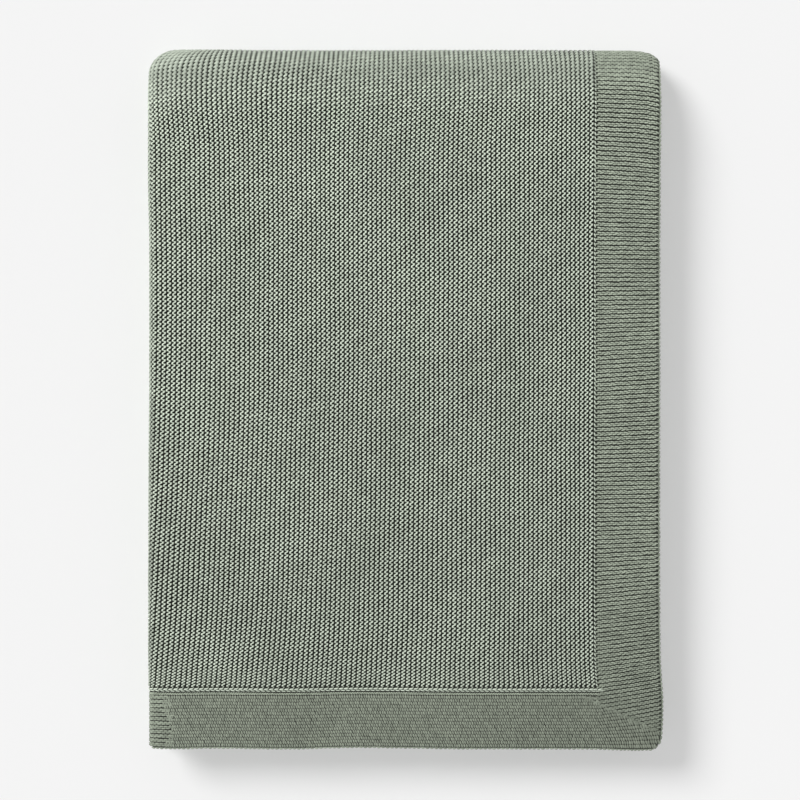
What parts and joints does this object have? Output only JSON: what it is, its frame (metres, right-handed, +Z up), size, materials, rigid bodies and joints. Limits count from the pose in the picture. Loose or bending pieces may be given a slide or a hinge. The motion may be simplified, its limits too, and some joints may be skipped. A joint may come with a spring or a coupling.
{
  "type": "knitted blanket",
  "caption": "Knitted blanket folded into a soft rectangular stack, with a ridged garter panel, smooth knitted borders and a full rolled fold at its back.",
  "frame": {"origin": "centre of the underside of the folded stack, where it rests on the surface", "axes": "+X across the stack towards the bordered side hem, +Y from the open front edge to the rolled fold, +Z up"},
  "size_m": [0.4378, 0.5982, 0.047],
  "materials": {
    "knit": "matte sage green cotton knit"
  },
  "bodies": {
    "root": {"blanket": "knit"}
  },
  "joints": []
}
